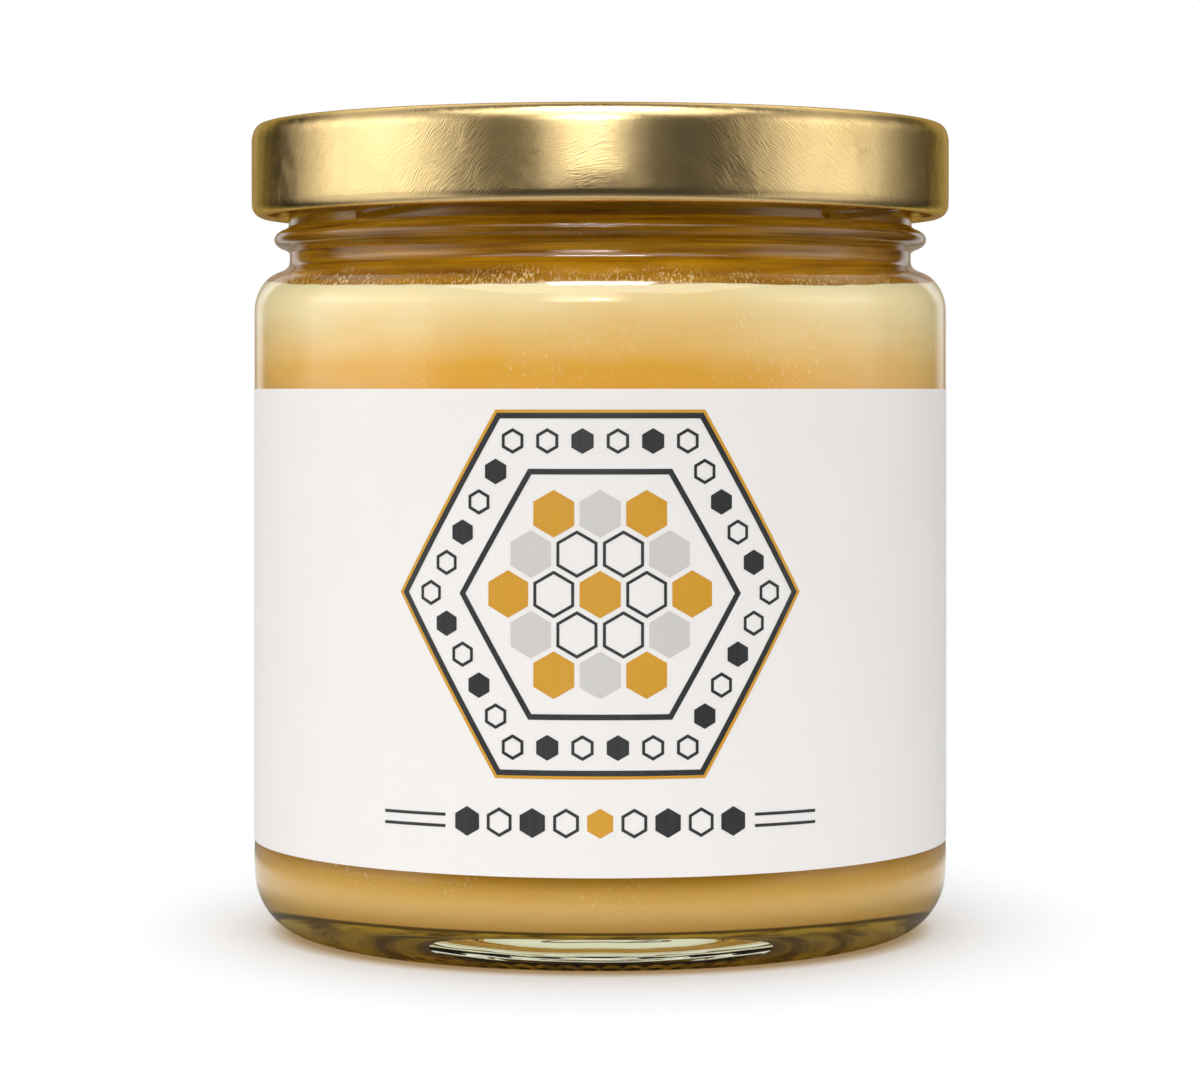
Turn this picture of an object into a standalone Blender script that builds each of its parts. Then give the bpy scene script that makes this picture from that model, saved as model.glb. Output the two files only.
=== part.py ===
"""A jar of creamed honey: a straight-sided glass jar with a short lug-thread neck, the honey
that fills it to just under the neck, a wrap-round paper label and a gold twist-off lid.

The origin is the middle of the ring that the jar stands on. +Z is up and the label faces -Y.
"""

import math

import bmesh
import bpy

# Driving dimensions, in metres
MM = 0.001
SEGMENTS = 60
GAP = 0.3 * MM

BODY_RADIUS = 36.57 * MM
WALL = 2.37 * MM

HEEL_TOP = 6.59 * MM
HEEL_INSET = 5.86 * MM
HEEL_BEAD_RADIUS = 36.63 * MM
HEEL_BEAD_HEIGHT = 7.5 * MM
STANDING_RING_WIDTH = 1.5 * MM
PUSH_UP_STEP = 1.6 * MM
PUSH_UP_EDGE = 0.9 * MM
PUSH_UP_CENTRE = 1.7 * MM

FLOOR_EDGE = 4.2 * MM
FLOOR_CENTRE = 5.0 * MM
FLOOR_CORNER = 4.8 * MM

LABEL_BOTTOM = 9.83 * MM
LABEL_TOP = 57.05 * MM
LABEL_RADIUS = 36.63 * MM
LABEL_SHEET = 0.33 * MM
LABEL_OPEN_SEGMENTS = 2

SHOULDER_START = 65.2 * MM
SHOULDER_INSET = 3.37 * MM
SHOULDER_RISE = 4.2 * MM
SHOULDER_END_ANGLE = 76
INNER_SHOULDER_START = 64.0 * MM
INNER_SHOULDER_INSET = 3.3 * MM
INNER_SHOULDER_RISE = 5.2 * MM
INNER_SHOULDER_END_ANGLE = 72

NECK_RADIUS = 33.0 * MM
NECK_GROOVE_RADIUS = 32.88 * MM
NECK_GROOVE_BOTTOM = 70.4 * MM
NECK_GROOVE_TOP = 71.35 * MM
NECK_FILLET_INSET = 0.45 * MM
NECK_FILLET_DROP = 0.8 * MM
NECK_BORE_RADIUS = 30.7 * MM
NECK_BORE_START = 70.8 * MM
BEAD_HEIGHT = 72.75 * MM
BEAD_REACH = 1.5 * MM
BEAD_HALF_HEIGHT = 1.05 * MM
BEAD_END_ANGLE = 75
BEAD_FILLET_TOP = 74.1 * MM
RIM_TOP = 84.1 * MM
RIM_INNER_ROUND = 0.9 * MM
RIM_OUTER_ROUND = 0.8 * MM

THREAD_COUNT = 4
THREAD_FIRST_START = -138
THREAD_SWEEP = 100
THREAD_BOTTOM = 74.5 * MM
THREAD_RISE_PER_DEGREE = 0.07 * MM
THREAD_CENTRE_RADIUS = 33.3 * MM
THREAD_HALF_WIDTH = 0.95 * MM
THREAD_TIP_SHARE = 0.35
THREAD_TAPER_SHARE = 0.12
THREAD_POINTS = 15

HONEY_LEVEL = 67.5 * MM
HONEY_EDGE_ROUND = 0.5 * MM
HONEY_EDGE_WIDTH = 2.0 * MM
HONEY_DIP = 0.3 * MM

LID_RADIUS = 36.89 * MM
LID_TOP = 84.8 * MM
LID_SHEET = 0.4 * MM
LID_CORNER_INSET = 0.98 * MM
LID_CORNER_DROP = 1.83 * MM
LID_PANEL_RADIUS = 27.8 * MM
LID_PANEL_DEPTH = 0.8 * MM
LID_STEP_WIDTH = 1.8 * MM
CURL_HEIGHT = 76.4 * MM
CURL_HALF_WIDTH = 1.02 * MM
CURL_HALF_HEIGHT = 1.3 * MM
CURL_INNER_END_ANGLE = -240
CURL_INNER_TOP = 78.3 * MM

LUG_COUNT = 4
LUG_CENTRE_RADIUS = 35.0 * MM
LUG_CENTRE_HEIGHT = 75.75 * MM
LUG_HALF_LENGTH = 5.5 * MM
LUG_HALF_DEPTH = 1.6 * MM
LUG_HALF_HEIGHT = 0.55 * MM

MERGE_DISTANCE = 1e-5


def clear_scene():
    for obj in list(bpy.data.objects):
        bpy.data.objects.remove(obj, do_unlink=True)


def new_collection(name):
    collection = bpy.data.collections.new(name)
    bpy.context.scene.collection.children.link(collection)
    return collection


def material(name, colour, roughness, metallic=0.0, transmission=0.0):
    made = bpy.data.materials.new(name)
    made.use_nodes = True
    shader = made.node_tree.nodes["Principled BSDF"]
    shader.inputs["Base Color"].default_value = (*colour, 1.0)
    shader.inputs["Roughness"].default_value = roughness
    shader.inputs["Metallic"].default_value = metallic
    shader.inputs["Transmission Weight"].default_value = transmission
    return made


def arc(centre, half_width, half_height, start, end, steps):
    """Points of an elliptical arc in the (radius, height) plane, with its angles in degrees."""
    points = []
    for step in range(steps + 1):
        angle = math.radians(start + (end - start) * step / steps)
        points.append(
            (
                centre[0] + half_width * math.cos(angle),
                centre[1] + half_height * math.sin(angle),
            )
        )
    return points


def mesh_object(name, mesh, collection, finish=None):
    obj = bpy.data.objects.new(name, mesh)
    if finish:
        mesh.materials.append(finish)
    collection.objects.link(obj)
    return obj


def turned(name, outline, collection, finish, segments=SEGMENTS):
    """A solid of revolution. The outline runs down the outer side, from top to bottom."""
    mesh = bpy.data.meshes.new(name)
    shape = bmesh.new()
    corners = [shape.verts.new((radius, 0.0, height)) for radius, height in outline]
    for first, second in zip(corners, corners[1:]):
        shape.edges.new((first, second))
    shape.to_mesh(mesh)
    shape.free()
    obj = mesh_object(name, mesh, collection, finish)
    screw = obj.modifiers.new("turn", "SCREW")
    screw.angle = math.tau * segments / SEGMENTS
    screw.steps = segments
    screw.render_steps = segments
    screw.use_smooth_shade = True
    screw.use_merge_vertices = True
    screw.merge_threshold = MERGE_DISTANCE
    return obj


def fuse(obj, additions):
    """Joins every object of a helper collection to this one."""
    union = obj.modifiers.new("fuse", "BOOLEAN")
    union.operation = "UNION"
    union.operand_type = "COLLECTION"
    union.collection = additions


def even_shading(obj):
    """Lets the broad faces set the smooth shading, so that thin edges stay crisp."""
    obj.modifiers.new("shading", "WEIGHTED_NORMAL")


def as_helper(obj):
    obj.hide_render = True
    obj.display_type = "WIRE"


# Inside of the jar

def inner_wall(gap, top_angle):
    """The outline of the jar's inside, from the floor's middle up to the shoulder, drawn in by a gap."""
    inner_radius = BODY_RADIUS - WALL
    corner_centre = (inner_radius - FLOOR_CORNER, FLOOR_EDGE + FLOOR_CORNER)
    shoulder_centre = (inner_radius - INNER_SHOULDER_INSET, INNER_SHOULDER_START)
    corner = FLOOR_CORNER - gap
    outline = [(0.0, FLOOR_CENTRE + gap)]
    outline += arc(corner_centre, corner, corner, -90, 0, 4)
    outline += arc(
        shoulder_centre,
        INNER_SHOULDER_INSET - gap,
        INNER_SHOULDER_RISE - gap,
        0,
        top_angle,
        4,
    )
    return outline


# Glass jar

def neck_outline():
    """The neck's outer side, from the rim down to the shoulder."""
    rim_inner = (NECK_BORE_RADIUS + RIM_INNER_ROUND, RIM_TOP - RIM_INNER_ROUND)
    rim_outer = (NECK_RADIUS - RIM_OUTER_ROUND, RIM_TOP - RIM_OUTER_ROUND)
    bead_centre = (NECK_RADIUS, BEAD_HEIGHT)
    outline = arc(rim_inner, RIM_INNER_ROUND, RIM_INNER_ROUND, 180, 90, 3)
    outline += arc(rim_outer, RIM_OUTER_ROUND, RIM_OUTER_ROUND, 90, 0, 3)
    outline += [(NECK_RADIUS, BEAD_FILLET_TOP)]
    outline += arc(
        bead_centre, BEAD_REACH, BEAD_HALF_HEIGHT, BEAD_END_ANGLE, -BEAD_END_ANGLE, 7
    )
    outline += [(NECK_GROOVE_RADIUS, NECK_GROOVE_TOP)]
    outline += [(NECK_GROOVE_RADIUS, NECK_GROOVE_BOTTOM)]
    return outline


def body_outline():
    """The body's outer side, from the shoulder down past the label's recess to the heel bead."""
    shoulder_centre = (BODY_RADIUS - SHOULDER_INSET, SHOULDER_START)
    panel_radius = LABEL_RADIUS - LABEL_SHEET - GAP
    fillet = (
        NECK_GROOVE_RADIUS + NECK_FILLET_INSET,
        NECK_GROOVE_BOTTOM - NECK_FILLET_DROP,
    )
    outline = [fillet]
    outline += arc(
        shoulder_centre, SHOULDER_INSET, SHOULDER_RISE, SHOULDER_END_ANGLE, 0, 6
    )
    outline += [
        (BODY_RADIUS, LABEL_TOP + GAP),
        (panel_radius, LABEL_TOP + GAP),
        (panel_radius, LABEL_BOTTOM - GAP),
        (BODY_RADIUS, LABEL_BOTTOM - GAP),
        (HEEL_BEAD_RADIUS, HEEL_BEAD_HEIGHT),
    ]
    return outline


def base_outline():
    """The heel, the flat ring that the jar stands on and the pushed-up base, in to the axis."""
    heel_centre = (BODY_RADIUS - HEEL_INSET, HEEL_TOP)
    ring_inner = heel_centre[0] - STANDING_RING_WIDTH
    outline = arc(heel_centre, HEEL_INSET, HEEL_TOP, 0, -90, 6)
    outline += arc(
        (ring_inner, PUSH_UP_EDGE), PUSH_UP_STEP, PUSH_UP_EDGE, -90, -180, 3
    )
    outline += [(0.0, PUSH_UP_CENTRE)]
    return outline


def thread_ridge(name, start, collection):
    """One right-hand thread: a ridge that climbs round the neck and runs out at both ends."""
    curve = bpy.data.curves.new(name, "CURVE")
    curve.dimensions = "3D"
    curve.bevel_depth = THREAD_HALF_WIDTH
    curve.bevel_resolution = 2
    curve.use_fill_caps = True
    spline = curve.splines.new("POLY")
    spline.points.add(THREAD_POINTS - 1)
    for index, point in enumerate(spline.points):
        share = index / (THREAD_POINTS - 1)
        angle = math.radians(start + THREAD_SWEEP * share)
        height = THREAD_BOTTOM + THREAD_RISE_PER_DEGREE * THREAD_SWEEP * share
        point.co = (
            THREAD_CENTRE_RADIUS * math.cos(angle),
            THREAD_CENTRE_RADIUS * math.sin(angle),
            height,
            1.0,
        )
        nearest_end = min(share, 1 - share) / THREAD_TAPER_SHARE
        fullness = math.sin(math.pi / 2 * min(1.0, nearest_end))
        point.radius = THREAD_TIP_SHARE + (1 - THREAD_TIP_SHARE) * fullness
    drawn = bpy.data.objects.new(name + "_path", curve)
    collection.objects.link(drawn)
    bpy.context.view_layer.update()
    graph = bpy.context.evaluated_depsgraph_get()
    mesh = bpy.data.meshes.new_from_object(drawn.evaluated_get(graph))
    shape = bmesh.new()
    shape.from_mesh(mesh)
    bmesh.ops.remove_doubles(shape, verts=shape.verts, dist=MERGE_DISTANCE)
    shape.to_mesh(mesh)
    shape.free()
    bpy.data.objects.remove(drawn, do_unlink=True)
    ridge = mesh_object(name, mesh, collection)
    as_helper(ridge)


def build_glass_jar(parts, threads):
    glass = material("clear_glass", (0.93, 0.96, 0.94), 0.03, transmission=1.0)
    outline = inner_wall(0.0, INNER_SHOULDER_END_ANGLE)
    outline += [(NECK_BORE_RADIUS, NECK_BORE_START)]
    outline += neck_outline()
    outline += body_outline()
    outline += base_outline()
    jar = turned("glass_jar", outline, parts, glass)
    for index in range(THREAD_COUNT):
        start = THREAD_FIRST_START + 360 / THREAD_COUNT * index
        thread_ridge(f"thread_{index + 1}", start, threads)
    fuse(jar, threads)
    even_shading(jar)


# Honey

def build_honey(parts):
    honey = material("creamed_honey", (0.78, 0.52, 0.17), 0.35)
    level_share = (HONEY_LEVEL - HONEY_EDGE_ROUND - INNER_SHOULDER_START) / (
        INNER_SHOULDER_RISE - GAP
    )
    side = inner_wall(GAP, math.degrees(math.asin(level_share)))
    edge_radius = side[-1][0]
    outline = [(0.0, HONEY_LEVEL - HONEY_DIP)]
    outline += [(edge_radius - HONEY_EDGE_WIDTH, HONEY_LEVEL - HONEY_DIP / 2)]
    outline += [(edge_radius - HONEY_EDGE_ROUND, HONEY_LEVEL)]
    outline += reversed(side)
    filling = turned("honey", outline, parts, honey)
    even_shading(filling)


# Paper label

def build_label(parts):
    paper = material("white_paper", (0.90, 0.90, 0.88), 0.6)
    inner_radius = LABEL_RADIUS - LABEL_SHEET
    outline = [(inner_radius, LABEL_TOP), (inner_radius, LABEL_BOTTOM)]
    segments = SEGMENTS - LABEL_OPEN_SEGMENTS
    label = turned("label", outline, parts, paper, segments)
    half_opening = math.pi * LABEL_OPEN_SEGMENTS / SEGMENTS
    label.rotation_euler.z = math.pi / 2 + half_opening
    sheet = label.modifiers.new("sheet", "SOLIDIFY")
    sheet.thickness = LABEL_SHEET
    sheet.offset = 1.0
    sheet.use_even_offset = True
    even_shading(label)


# Twist-off lid

def panel_outline(drop, inset):
    """The lid's top from the axis out to the raised ring, lowered and drawn in for the underside."""
    low = LID_TOP - LID_PANEL_DEPTH - drop
    high = LID_TOP - drop
    start = LID_PANEL_RADIUS + inset
    return [
        (0.0, low),
        (start, low),
        (start + LID_STEP_WIDTH / 3, low + LID_PANEL_DEPTH / 5),
        (start + 2 * LID_STEP_WIDTH / 3, high - LID_PANEL_DEPTH / 5),
        (start + LID_STEP_WIDTH, high),
    ]


def lug(name, angle, collection):
    """A lug, where the curl is pinched in to catch under a thread."""
    mesh = bpy.data.meshes.new(name)
    shape = bmesh.new()
    bmesh.ops.create_uvsphere(shape, u_segments=12, v_segments=6, radius=1.0)
    bmesh.ops.scale(
        shape, vec=(LUG_HALF_DEPTH, LUG_HALF_LENGTH, LUG_HALF_HEIGHT), verts=shape.verts
    )
    shape.to_mesh(mesh)
    shape.free()
    pinch = mesh_object(name, mesh, collection)
    pinch.location = (
        LUG_CENTRE_RADIUS * math.cos(angle),
        LUG_CENTRE_RADIUS * math.sin(angle),
        LUG_CENTRE_HEIGHT,
    )
    pinch.rotation_euler.z = angle
    as_helper(pinch)


def build_lid(parts, lugs):
    gold = material("gold_lacquer", (0.72, 0.60, 0.34), 0.3, metallic=1.0)
    corner = (LID_RADIUS - LID_CORNER_INSET, LID_TOP - LID_CORNER_DROP)
    curl = (LID_RADIUS - CURL_HALF_WIDTH, CURL_HEIGHT)
    inner_radius = LID_RADIUS - LID_SHEET
    outline = panel_outline(0.0, 0.0)
    outline += arc(corner, LID_CORNER_INSET, LID_CORNER_DROP, 90, 0, 4)
    outline += arc(curl, CURL_HALF_WIDTH, CURL_HALF_HEIGHT, 0, CURL_INNER_END_ANGLE, 9)
    outline += [(inner_radius, CURL_INNER_TOP)]
    outline += arc(
        corner, LID_CORNER_INSET - LID_SHEET, LID_CORNER_DROP - LID_SHEET, 0, 90, 3
    )
    outline += reversed(panel_outline(LID_SHEET, LID_SHEET / 2))
    lid = turned("lid", outline, parts, gold)
    for index in range(LUG_COUNT):
        lug(f"lug_{index + 1}", math.tau * index / LUG_COUNT, lugs)
    fuse(lid, lugs)
    even_shading(lid)


def main():
    clear_scene()
    parts = new_collection("honey_jar")
    threads = new_collection("thread_ridges")
    lugs = new_collection("lid_lugs")
    build_glass_jar(parts, threads)
    build_honey(parts)
    build_label(parts)
    build_lid(parts, lugs)


main()
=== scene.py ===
# %% [markdown]
# # A jar of creamed honey
#
# This lesson dresses a finished CAD model of a honey jar. The CAD solids already have the right
# size and place, so nothing is moved here. Each one is replaced by a finer mesh: clear glass, the
# honey inside it, a paper label with its print, and a gold twist-off lid.
#
# The first cell loads the CAD model as a fixed frame, with a helper that reads the box of each part.

# %% Load the frame
import math

import bmesh
import bpy
from mathutils import Matrix, Vector, noise


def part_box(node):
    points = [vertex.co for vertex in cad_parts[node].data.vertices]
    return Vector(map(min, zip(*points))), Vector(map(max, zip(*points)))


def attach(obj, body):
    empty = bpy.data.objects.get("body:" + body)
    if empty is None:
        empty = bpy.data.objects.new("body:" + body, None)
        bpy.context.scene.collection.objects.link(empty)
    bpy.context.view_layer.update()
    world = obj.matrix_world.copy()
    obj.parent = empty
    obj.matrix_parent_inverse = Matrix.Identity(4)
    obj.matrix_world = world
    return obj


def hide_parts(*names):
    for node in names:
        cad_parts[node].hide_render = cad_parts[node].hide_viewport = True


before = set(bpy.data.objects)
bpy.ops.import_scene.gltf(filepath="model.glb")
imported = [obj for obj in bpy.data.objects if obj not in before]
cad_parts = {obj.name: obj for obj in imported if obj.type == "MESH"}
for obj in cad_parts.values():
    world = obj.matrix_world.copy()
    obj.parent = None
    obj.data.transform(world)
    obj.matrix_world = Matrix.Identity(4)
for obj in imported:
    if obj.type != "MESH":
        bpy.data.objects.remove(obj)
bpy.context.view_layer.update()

# %% [markdown]
# ## Sizes
#
# The main sizes are read from the CAD solids' boxes, so the fine meshes can't drift away from them.
# The smaller ones are real sizes in metres. Lengths are written in millimetres times MM, because a
# glass wall of 2.37 mm is easier to picture than one of 0.00237 m.

# %% Sizes from the frame
MM = 0.001


def low(node):
    return Vector(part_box(node)[0])


def high(node):
    return Vector(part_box(node)[1])


HEEL_BEAD_RADIUS = high("glass_jar").x
BODY_RADIUS = HEEL_BEAD_RADIUS - 0.06 * MM
RIM_TOP = high("glass_jar").z
LABEL_RADIUS = high("label").x
LABEL_TOP = high("label").z
LABEL_BOTTOM = low("label").z
HONEY_LEVEL = high("honey").z
LID_RADIUS = high("lid").x
LID_TOP = high("lid").z
LID_BOTTOM = low("lid").z
print(f"body radius {BODY_RADIUS:.5f} m, lid radius {LID_RADIUS:.5f} m, height {LID_TOP:.5f} m")

# %% Glass sizes
WALL = 2.37 * MM
INNER_RADIUS = BODY_RADIUS - WALL

HEEL_TOP = 6.59 * MM
HEEL_INSET = 5.86 * MM
HEEL_BEAD_HEIGHT = 7.5 * MM
HEEL_BEAD_BLEND = 1.5 * MM
STANDING_RING_WIDTH = 1.5 * MM
STANDING_RADIUS = BODY_RADIUS - HEEL_INSET
PUSH_UP_STEP = 1.6 * MM
PUSH_UP_EDGE = 0.9 * MM
PUSH_UP_CENTRE = 1.7 * MM
RIPPLE_PITCH = 3.4 * MM
RIPPLE_HEIGHT = 0.012 * MM
RIPPLE_STEPS = 60
FLOOR_EDGE = 4.2 * MM
FLOOR_CENTRE = 5.0 * MM
FLOOR_CORNER = 4.8 * MM

SHOULDER_START = 65.2 * MM
SHOULDER_INSET = 3.37 * MM
SHOULDER_RISE = 4.2 * MM
INNER_SHOULDER_START = 64.0 * MM
INNER_SHOULDER_INSET = 3.3 * MM
INNER_SHOULDER_RISE = 5.2 * MM
INNER_SHOULDER_ARC = 72

NECK_RADIUS = 33.0 * MM
GROOVE_RADIUS = 32.88 * MM
GROOVE_BOTTOM = 70.4 * MM
GROOVE_TOP = 71.35 * MM
GROOVE_FILLET = ((0.08 * MM, 0.35 * MM), (0.25 * MM, 0.62 * MM), (0.55 * MM, 0.88 * MM))
BORE_RADIUS = 30.7 * MM
BORE_START = 70.8 * MM
BEAD_HEIGHT = 72.75 * MM
BEAD_REACH = 1.5 * MM
BEAD_HALF_HEIGHT = 1.05 * MM
BEAD_FILLET_TOP = 74.1 * MM
RIM_INNER_ROUND = 0.9 * MM
RIM_OUTER_ROUND = 0.8 * MM
THREAD_FINE_TOP = 77.4 * MM
print(f"inner radius {INNER_RADIUS / MM:.2f} mm, bore radius {BORE_RADIUS / MM:.1f} mm")

# %% [markdown]
# ## The camera
#
# The photo was taken level, from in front, with a long lens. The picture was then framed by a
# vertical shift and not by a tilt, which is why the jar's sides stay upright. The distance comes
# from how curved the label's edges and the lid's edge look: 10.83 body radii from the axis.

# %% Camera
IMAGE_WIDTH = 1200
IMAGE_HEIGHT = 1066
HORIZON_ROW = 388.8
AXIS_COLUMN = 600.2
SENSOR = 36.0
FOCAL_PIXELS = 3730
CAMERA_DISTANCE = 396.4 * MM
CAMERA_HEIGHT = 57.05 * MM

camera_data = bpy.data.cameras.new("photo_camera")
camera_data.sensor_width = SENSOR
camera_data.lens = SENSOR * FOCAL_PIXELS / IMAGE_WIDTH
camera_data.shift_x = (IMAGE_WIDTH / 2 - AXIS_COLUMN) / IMAGE_WIDTH
camera_data.shift_y = -(IMAGE_HEIGHT / 2 - HORIZON_ROW) / IMAGE_WIDTH
camera_data.clip_start = 0.01
camera_data.clip_end = 20.0
camera = bpy.data.objects.new("photo_camera", camera_data)
camera.location = (0.0, -CAMERA_DISTANCE, CAMERA_HEIGHT)
camera.rotation_euler = (math.pi / 2, 0.0, 0.0)
bpy.context.scene.collection.objects.link(camera)
bpy.context.scene.camera = camera
print(f"lens {camera_data.lens:.1f} mm, shift {camera_data.shift_y:.4f}")

# %% [markdown]
# ## Turned shapes
#
# A jar, its filling and its lid are all turned shapes, as if cut on a lathe. In Blender that is the
# spin operator: a few joined points in the XZ plane are swept round the Z axis. Round stretches of
# the outline are arcs, worked out from a centre and two radii.
#
# A full spin needs use_merge, or the last step lies on the first one without being joined to it.
# Points on the axis all land in one place, so they are merged afterwards, and the normals are then
# worked out again so that they point outwards.

# %% Outline and spin helpers
SPIN_STEPS = 256
MERGE = 1e-6


def arc(centre, half_width, half_height, start, end, steps):
    """Points of an elliptical arc in the (radius, height) plane, with its angles in degrees."""
    points = []
    for step in range(steps + 1):
        angle = math.radians(start + (end - start) * step / steps)
        across = half_width * math.cos(angle)
        up = half_height * math.sin(angle)
        points.append((centre[0] + across, centre[1] + up))
    return points


def line(start, end, steps):
    """Evenly spaced points from start to end, both included."""
    a = Vector(start)
    b = Vector(end)
    return [tuple(a.lerp(b, step / steps)) for step in range(steps + 1)]


def spun(outline, steps=SPIN_STEPS):
    """A closed turned shape, from an outline that ends on the axis or where it began."""
    shape = bmesh.new()
    corners = [shape.verts.new((radius, 0.0, height)) for radius, height in outline]
    edges = [shape.edges.new(pair) for pair in zip(corners, corners[1:])]
    bmesh.ops.spin(
        shape,
        geom=corners + edges,
        cent=(0.0, 0.0, 0.0),
        axis=(0.0, 0.0, 1.0),
        angle=math.tau,
        steps=steps,
        use_merge=True,
    )
    bmesh.ops.remove_doubles(shape, verts=shape.verts, dist=MERGE)
    bmesh.ops.recalc_face_normals(shape, faces=shape.faces)
    return shape


def azimuth(place):
    """The angle round the jar in degrees: 0 at the front, growing to the right."""
    return math.degrees(math.atan2(place.x, -place.y))


def push_out(vert, distance):
    """Moves a point away from the jar's axis."""
    outward = Vector((vert.co.x, vert.co.y, 0.0)).normalized()
    vert.co += outward * distance


def bell(distance):
    """1 at 0, falling smoothly to 0 at -1 and 1."""
    if abs(distance) >= 1:
        return 0.0
    return 0.5 + 0.5 * math.cos(math.pi * distance)


print(f"a full turn has {SPIN_STEPS} steps of {360 / SPIN_STEPS:.2f} degrees")

# %% [markdown]
# ## From bmesh to finished piece
#
# Every piece ends the same way: its mesh goes into an object at the origin, it gets a material, it
# rides on the jar's one body, and the CAD solid that it replaces, if any, is hidden.
#
# A pattern that follows a round wall needs a map that is unrolled from it. The map "wrap" holds
# lengths in millimetres: round the wall and up it on the sides, and straight across on faces that
# look up or down.

# %% Piece helpers
BODY = "root"
LEVEL_FACE = 0.75


def unroll(shape, radius):
    """Writes the map named wrap: millimetres round and up the walls, or across level faces."""
    layer = shape.loops.layers.uv.new("wrap")
    for face in shape.faces:
        level = abs(face.normal.z) > LEVEL_FACE
        middle = azimuth(face.calc_center_median())
        for loop in face.loops:
            place = loop.vert.co
            if level:
                loop[layer].uv = (place.x / MM, place.y / MM)
                continue
            angle = azimuth(place)
            angle += 360 * round((middle - angle) / 360)
            loop[layer].uv = (math.radians(angle) * radius / MM, place.z / MM)


def finished(shape, name, material, replaced=None, smooth_angle=40):
    """Turns a bmesh into a finished piece that rides on the jar."""
    mesh = bpy.data.meshes.new(name)
    shape.to_mesh(mesh)
    shape.free()
    mesh.shade_smooth()
    mesh.set_sharp_from_angle(angle=math.radians(smooth_angle))
    mesh.materials.append(material)
    piece = bpy.data.objects.new(name, mesh)
    bpy.context.scene.collection.objects.link(piece)
    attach(piece, BODY)
    if replaced:
        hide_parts(replaced)
    print(f"{name}: {len(mesh.vertices)} points, {len(mesh.polygons)} faces")
    return piece


print("every piece rides on", BODY)

# %% [markdown]
# ## Material helpers
#
# A material is a small graph of nodes. A few helpers keep the graphs short: one adds a node and fills
# in its settings, some multiply, spread and mix, and one starts a material with its Principled
# shader.
#
# Real surfaces are never quite even, so every finish here uses the same shared group: a noise whose
# result is spread between a low and a high value. The finish decides what that value does.

# %% Node helpers
def add(tree, kind, inputs=None, **settings):
    """Adds a node, sets its properties, and fills or links the named inputs."""
    node = tree.nodes.new(kind)
    for name, value in settings.items():
        setattr(node, name, value)
    for name, value in (inputs or {}).items():
        if isinstance(value, bpy.types.NodeSocket):
            tree.links.new(value, node.inputs[name])
        else:
            node.inputs[name].default_value = value
    return node


def maths(tree, operation, first, second=0.0, third=0.0):
    """One sum on values or sockets. Returns its result."""
    return add(
        tree, "ShaderNodeMath", {0: first, 1: second, 2: third}, operation=operation
    ).outputs[0]


def times(tree, first, second):
    """One value times another."""
    return maths(tree, "MULTIPLY", first, second)


def spread(tree, value, from_low, from_high, to_low, to_high):
    """Maps a value from one range to another, and keeps it inside."""
    ranges = {1: from_low, 2: from_high, 3: to_low, 4: to_high}
    return add(tree, "ShaderNodeMapRange", {0: value, **ranges}).outputs[0]


def fade(tree, value, start, end):
    """0 where the value is at the start, growing to 1 at the end."""
    return spread(tree, value, start, end, 0.0, 1.0)


def blend_colours(tree, share, first, second):
    """Mixes two colours by a share."""
    inputs = {0: share, 6: first, 7: second}
    return add(tree, "ShaderNodeMix", inputs, data_type="RGBA").outputs[2]


def colour(red, green, blue):
    return (red, green, blue, 1.0)


print("a colour with its alpha:", colour(0.5, 0.5, 0.5))

# %% Helpers for one material
def new_material(name):
    """A material with only its Principled shader. Returns the material, its tree and the shader."""
    material = bpy.data.materials.new(name)
    material.use_nodes = True
    tree = material.node_tree
    return material, tree, tree.nodes["Principled BSDF"]


def feed(tree, shader, name, source):
    """Links a socket to one of the shader's inputs."""
    tree.links.new(source, shader.inputs[name])


def bump(tree, height, strength, distance):
    """A bump of this strength, with this distance from low to high. Returns its normal."""
    inputs = {"Height": height, "Strength": strength, "Distance": distance}
    return add(tree, "ShaderNodeBump", inputs).outputs["Normal"]


def describe(material):
    print(f"{material.name}: {len(material.node_tree.nodes)} nodes")


# %% Shared group for unevenness
NOISE_LOW = 0.3
NOISE_HIGH = 0.7


def make_unevenness():
    group = bpy.data.node_groups.new("unevenness", "ShaderNodeTree")
    interface = group.interface
    interface.new_socket("Vector", in_out="INPUT", socket_type="NodeSocketVector")
    for name, default in (("Scale", 1.0), ("Detail", 3.0), ("Low", 0.0), ("High", 1.0)):
        socket = interface.new_socket(name, in_out="INPUT", socket_type="NodeSocketFloat")
        socket.default_value = default
    interface.new_socket("Value", in_out="OUTPUT", socket_type="NodeSocketFloat")
    start = add(group, "NodeGroupInput")
    end = add(group, "NodeGroupOutput")
    inputs = {name: start.outputs[name] for name in ("Vector", "Scale", "Detail")}
    grain = add(group, "ShaderNodeTexNoise", inputs).outputs[0]
    ends = (start.outputs["Low"], start.outputs["High"])
    result = spread(group, grain, NOISE_LOW, NOISE_HIGH, *ends)
    group.links.new(result, end.inputs["Value"])
    return group


UNEVENNESS = make_unevenness()


def uneven(tree, vector, scale, lowest, highest, detail=3.0):
    """A noise of this scale per millimetre, between lowest and highest, from the shared group."""
    inputs = {"Vector": vector, "Scale": scale, "Detail": detail, "Low": lowest, "High": highest}
    return add(tree, "ShaderNodeGroup", inputs, node_tree=UNEVENNESS).outputs["Value"]


def peaks(tree, vector, scale, lowest, highest, detail):
    """The same, cut off below 0, so that only its peaks are left."""
    return maths(tree, "MAXIMUM", uneven(tree, vector, scale, lowest, highest, detail), 0.0)


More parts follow.
